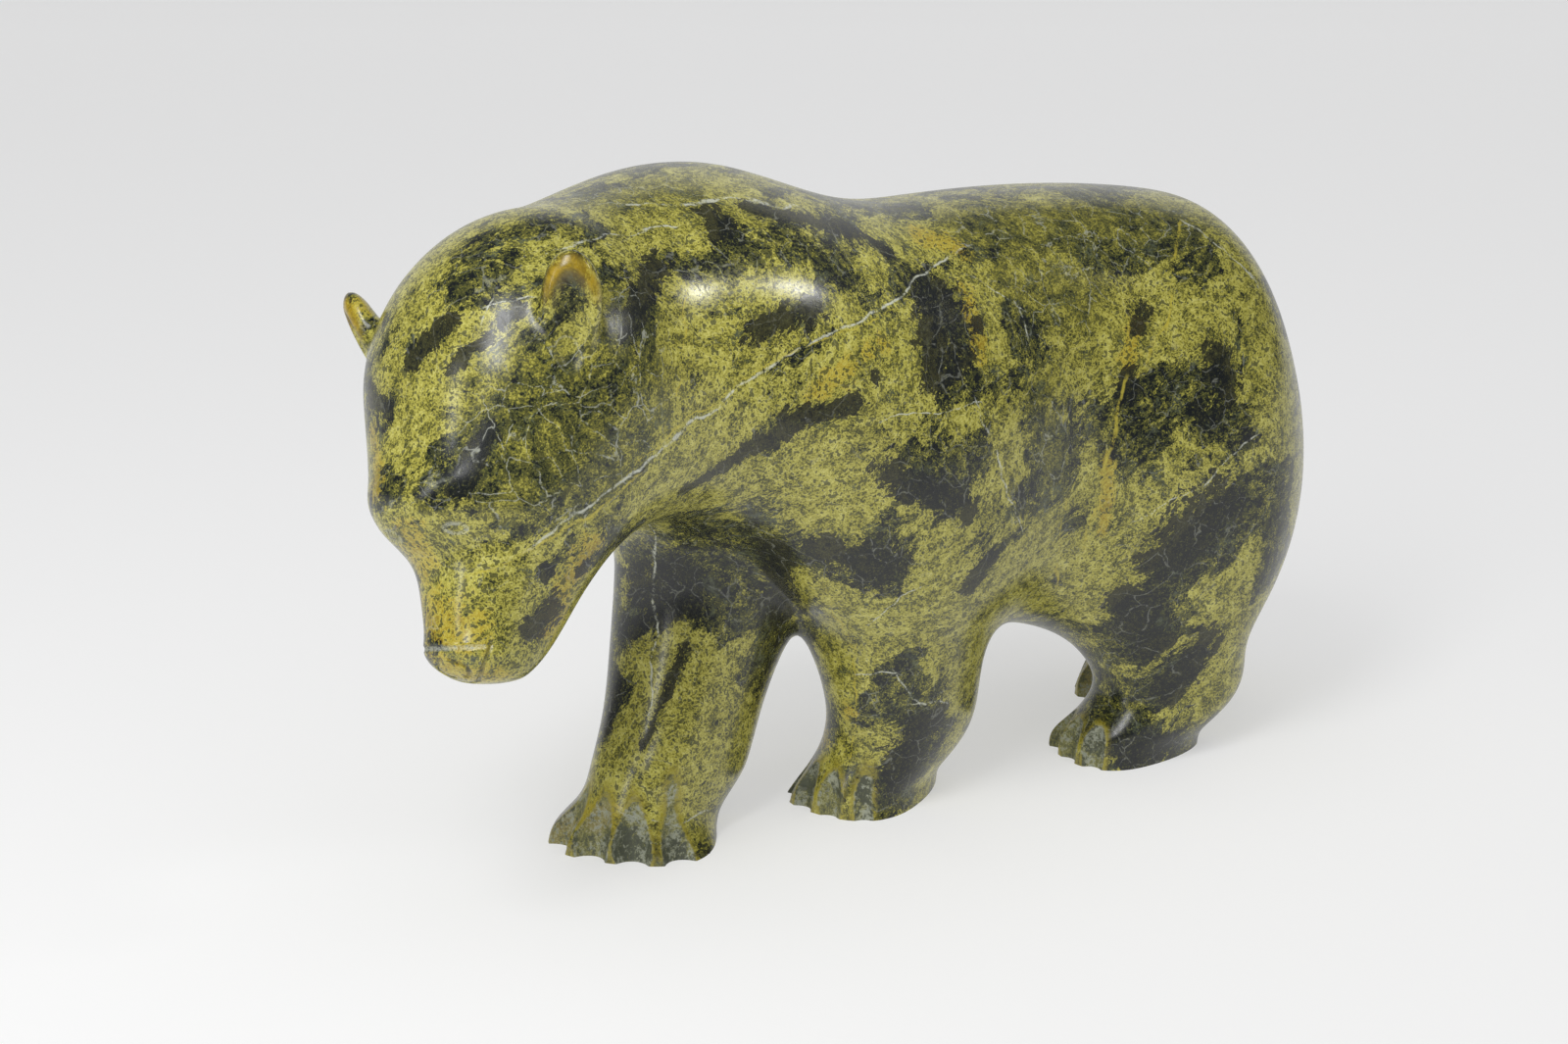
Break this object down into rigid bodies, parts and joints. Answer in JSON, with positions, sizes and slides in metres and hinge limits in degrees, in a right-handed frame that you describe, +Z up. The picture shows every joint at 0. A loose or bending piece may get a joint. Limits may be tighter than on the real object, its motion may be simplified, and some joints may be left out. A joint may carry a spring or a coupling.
{
  "type": "carved stone bear figure",
  "caption": "Carved and polished green stone figure of a walking bear with its head low, standing on flat-sawn paws.",
  "frame": {"origin": "on the floor, under the middle of the carving's box", "axes": "+Z up; the bear walks towards -X, with its left flank towards -Y; the longest extent is along X"},
  "size_m": [0.325, 0.1238, 0.1845],
  "materials": {
    "stone": "polished"
  },
  "bodies": {
    "root": {"bear": "stone"}
  },
  "joints": []
}
